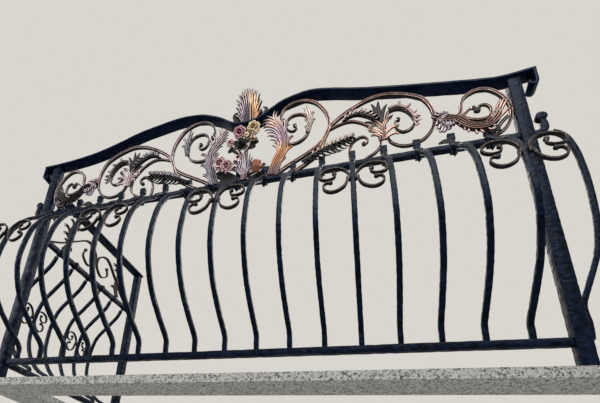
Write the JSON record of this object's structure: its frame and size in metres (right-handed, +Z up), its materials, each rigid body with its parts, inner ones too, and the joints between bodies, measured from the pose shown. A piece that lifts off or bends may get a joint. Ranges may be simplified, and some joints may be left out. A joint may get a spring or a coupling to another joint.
{
  "type": "balcony railing",
  "caption": "Bellied wrought iron balcony railing with a scrollwork and acanthus frieze, a raised crest handrail and a lower return panel on a granite coping.",
  "frame": {"origin": "on the coping's underside, at mid front, in the plane of the front rails", "axes": "+X to the right along the front, +Y towards the house, +Z up"},
  "size_m": [2.2536, 1.1404, 1.4027],
  "materials": {
    "iron": "hammered wrought iron in gloss blue-black paint",
    "copper": "beaten iron leaf and scroll work, dark ground brushed with copper paint",
    "scroll_copper": "flat iron scrolls, dark paint with copper brushed on the edges",
    "granite": "fine grained grey granite, sawn"
  },
  "bodies": {
    "root": {"post_front_left": "iron", "post_front_right": "iron", "post_wall_left": "iron", "handrail_front": "iron", "handrail_left": "iron", "frieze_rail_front": "iron", "frieze_rail_left": "iron", "bottom_rail_front": "iron", "bottom_rail_left": "iron", "belly_bars_left_side": "iron", "belly_bars_middle": "iron", "belly_bars_right_side": "iron", "belly_bar_corner": "iron", "belly_bars_return": "iron", "bar_collars_front": "iron", "bar_collars_return": "iron", "bar_scrolls_front": "scroll_copper", "bar_scrolls_return": "scroll_copper", "crest_ring_left": "copper", "crest_ring_right": "copper", "crest_spiral_left": "copper", "crest_spiral_right": "copper", "wave_scroll_left": "copper", "wave_scroll_right": "copper", "wave_spiral_left": "copper", "wave_spiral_right": "copper", "branch_strands": "copper", "end_scrolls": "copper", "end_acanthus": "copper", "fern_leaves": "copper", "calyx_flowers": "copper", "calyx_fringes": "copper", "centre_acanthus": "copper", "bouquet_stem": "copper", "bouquet_roses": "copper", "bouquet_lily": "copper", "bouquet_bud": "copper", "finial_leaf": "copper", "finial_side_leaves": "iron", "return_scrolls": "copper", "return_acanthus": "copper", "coping_front_stone": "granite", "coping_corner_stone": "granite", "coping_return_stone": "granite"}
  },
  "joints": []
}
